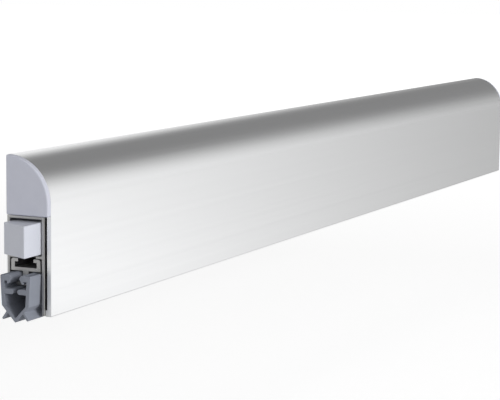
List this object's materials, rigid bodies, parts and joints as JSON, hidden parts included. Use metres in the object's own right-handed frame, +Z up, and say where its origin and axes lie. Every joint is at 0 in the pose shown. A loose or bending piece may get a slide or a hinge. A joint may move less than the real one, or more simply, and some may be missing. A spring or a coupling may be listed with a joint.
{
  "type": "drop-down door bottom seal",
  "caption": "Door bottom seal strip for the face of a door: a sprung rubber seal drops out of an aluminium housing under a round-topped cover when the trigger at its end is pressed.",
  "frame": {"origin": "lower rear edge of the housing at mid-length, in the plane of the door's face", "axes": "+X along the strip away from the trigger end, +Y into the door, +Z up"},
  "size_m": [0.4742, 0.015, 0.0496],
  "materials": {
    "anodised_aluminium": "satin silver anodised",
    "mill_aluminium": "mill finish extrusion",
    "cap_plastic": "fine matt moulding",
    "trigger_plastic": "smooth matt moulding",
    "seal_rubber": "matt extruded rubber",
    "slider_plastic": "black moulding",
    "spring_steel": "bright rolled strip",
    "zinc_steel": "zinc plated"
  },
  "bodies": {
    "housing": {"housing_profile": "mill_aluminium", "cover_profile": "anodised_aluminium", "near_end_cap": "cap_plastic", "far_end_cap": "cap_plastic", "near_spring_anchor": "slider_plastic", "far_spring_anchor": "slider_plastic", "anchor_pins": "zinc_steel", "near_leaf_spring": "spring_steel", "far_leaf_spring": "spring_steel"},
    "drop_seal": {"drop_bar": "mill_aluminium", "seal_profile": "seal_rubber", "near_spring_holder": "slider_plastic", "far_spring_holder": "slider_plastic"},
    "trigger": {"trigger_button": "trigger_plastic", "adjusting_screw": "zinc_steel", "lock_nut": "zinc_steel", "rod_coupler": "slider_plastic", "push_rod": "mill_aluminium", "near_spring_slider": "slider_plastic", "far_spring_slider": "slider_plastic", "rod_rivets": "zinc_steel"}
  },
  "joints": [
    {"name": "seal_drop", "type": "slide", "parent": "housing", "child": "drop_seal", "axis": [0, 0, -1], "range_m": [0, 0.012], "stiffness_N_per_m": 400, "springref_m": -0.01, "deforming": ["near_leaf_spring", "far_leaf_spring"]},
    {"name": "trigger_press", "type": "slide", "parent": "housing", "child": "trigger", "axis": [1, 0, 0], "range_m": [0, 0.006]}
  ],
  "couplings": [
    {"joint": "trigger_press", "follows": "seal_drop", "ratio": 0.5}
  ]
}
